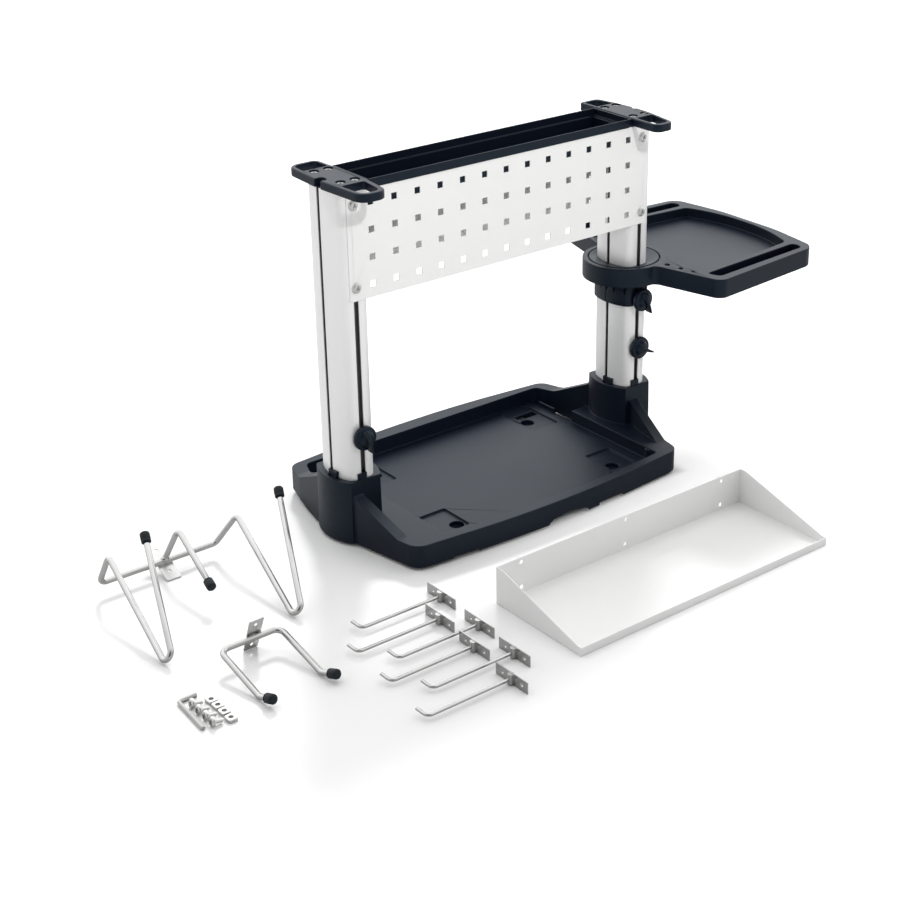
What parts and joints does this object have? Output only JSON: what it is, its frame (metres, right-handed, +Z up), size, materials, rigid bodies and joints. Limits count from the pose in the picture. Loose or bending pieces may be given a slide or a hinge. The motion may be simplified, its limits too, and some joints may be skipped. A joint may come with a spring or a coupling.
{
  "type": "tool workcenter",
  "caption": "Free-standing bench tool station: moulded base tray, two slotted posts, pegboard panels, top trough, swivel parts tray, clamp knobs and loose hooks, holders and shelf.",
  "frame": {"origin": "middle of the underside of the central foot, on the floor, half way between the two posts", "axes": "+X along the panels towards the swivel tray, -Y to the front, +Z up"},
  "size_m": [1.2069, 0.661, 0.525],
  "materials": {
    "dark_plastic": "satin moulded plastic",
    "rubber": "matt",
    "aluminium": "satin anodised",
    "panel_paint": "fine powder coat",
    "shelf_paint": "fine powder coat",
    "steel": "zinc plated",
    "dark_steel": "satin",
    "chrome_wire": "bright",
    "zinc_wire": "bright zinc"
  },
  "bodies": {
    "workcenter": {"base_tray": "dark_plastic", "socket_keys": "dark_plastic", "base_feet": "rubber", "post_left": "aluminium", "post_right": "aluminium", "post_bolts": "steel", "front_panel": "panel_paint", "rear_panel": "panel_paint", "panel_screws": "steel", "panel_nuts": "steel", "top_trough": "dark_plastic", "cap_left": "dark_plastic", "cap_right": "dark_plastic", "cap_screws": "steel"},
    "tray_carrier": {"swivel_bush": "dark_plastic", "clamp_ring": "dark_plastic", "ring_bolt": "steel"},
    "swivel_tray_body": {"swivel_tray": "dark_plastic"},
    "ring_knob_body": {"ring_knob": "dark_plastic"},
    "left_clamp": {"left_bolt": "steel"},
    "left_knob_body": {"left_knob": "dark_plastic"},
    "right_clamp": {"right_bolt": "steel"},
    "right_knob_body": {"right_knob": "dark_plastic"},
    "v_holder": {"v_holder_wires": "chrome_wire", "v_holder_caps": "rubber", "v_holder_plate": "steel"},
    "u_holder": {"u_holder_wire": "chrome_wire", "u_holder_caps": "rubber", "u_holder_plate": "steel"},
    "shelf_body": {"shelf": "shelf_paint"},
    "hex_key_body": {"hex_key": "dark_steel"},
    "loose_screws_body": {"loose_screws": "steel"},
    "loose_nuts_body": {"loose_nuts": "steel"},
    "hook_1_body": {"hook_1": "zinc_wire"},
    "hook_2_body": {"hook_2": "zinc_wire"},
    "hook_3_body": {"hook_3": "zinc_wire"},
    "hook_4_body": {"hook_4": "zinc_wire"},
    "hook_5_body": {"hook_5": "zinc_wire"},
    "hook_6_body": {"hook_6": "zinc_wire"}
  },
  "joints": [
    {"name": "tray_height", "type": "slide", "parent": "workcenter", "child": "tray_carrier", "axis": [0, 0, 1], "range_m": [-0.025, 0.055]},
    {"name": "tray_swivel", "type": "hinge", "parent": "tray_carrier", "child": "swivel_tray_body", "pos_m": [0.2612, 0, 0.28], "axis": [0, 0, 1], "continuous": true},
    {"name": "ring_knob_turn", "type": "hinge", "parent": "tray_carrier", "child": "ring_knob_body", "pos_m": [0.256, -0.043, 0.241], "axis": [0, -1, 0], "range_deg": [-20, 360]},
    {"name": "left_clamp_slide", "type": "slide", "parent": "workcenter", "child": "left_clamp", "axis": [0, 0, 1], "range_m": [-0.036, 0.15]},
    {"name": "left_knob_turn", "type": "hinge", "parent": "left_clamp", "child": "left_knob_body", "pos_m": [-0.256, -0.04, 0.1614], "axis": [0, -1, 0], "range_deg": [-20, 360]},
    {"name": "right_clamp_slide", "type": "slide", "parent": "workcenter", "child": "right_clamp", "axis": [0, 0, 1], "range_m": [-0.036, 0.01]},
    {"name": "right_knob_turn", "type": "hinge", "parent": "right_clamp", "child": "right_knob_body", "pos_m": [0.256, -0.04, 0.1614], "axis": [0, -1, 0], "range_deg": [-20, 360]},
    {"name": "v_holder_lift", "type": "slide", "parent": "workcenter", "child": "v_holder", "axis": [0, 0, 1], "range_m": [0, 0.3]},
    {"name": "u_holder_lift", "type": "slide", "parent": "workcenter", "child": "u_holder", "axis": [0, 0, 1], "range_m": [0, 0.3]},
    {"name": "shelf_lift", "type": "slide", "parent": "workcenter", "child": "shelf_body", "axis": [0, 0, 1], "range_m": [0, 0.3]},
    {"name": "hex_key_lift", "type": "slide", "parent": "workcenter", "child": "hex_key_body", "axis": [0, 0, 1], "range_m": [0, 0.3]},
    {"name": "loose_screws_lift", "type": "slide", "parent": "workcenter", "child": "loose_screws_body", "axis": [0, 0, 1], "range_m": [0, 0.3]},
    {"name": "loose_nuts_lift", "type": "slide", "parent": "workcenter", "child": "loose_nuts_body", "axis": [0, 0, 1], "range_m": [0, 0.3]},
    {"name": "hook_1_lift", "type": "slide", "parent": "workcenter", "child": "hook_1_body", "axis": [0, 0, 1], "range_m": [0, 0.3]},
    {"name": "hook_2_lift", "type": "slide", "parent": "workcenter", "child": "hook_2_body", "axis": [0, 0, 1], "range_m": [0, 0.3]},
    {"name": "hook_3_lift", "type": "slide", "parent": "workcenter", "child": "hook_3_body", "axis": [0, 0, 1], "range_m": [0, 0.3]},
    {"name": "hook_4_lift", "type": "slide", "parent": "workcenter", "child": "hook_4_body", "axis": [0, 0, 1], "range_m": [0, 0.3]},
    {"name": "hook_5_lift", "type": "slide", "parent": "workcenter", "child": "hook_5_body", "axis": [0, 0, 1], "range_m": [0, 0.3]},
    {"name": "hook_6_lift", "type": "slide", "parent": "workcenter", "child": "hook_6_body", "axis": [0, 0, 1], "range_m": [0, 0.3]}
  ]
}
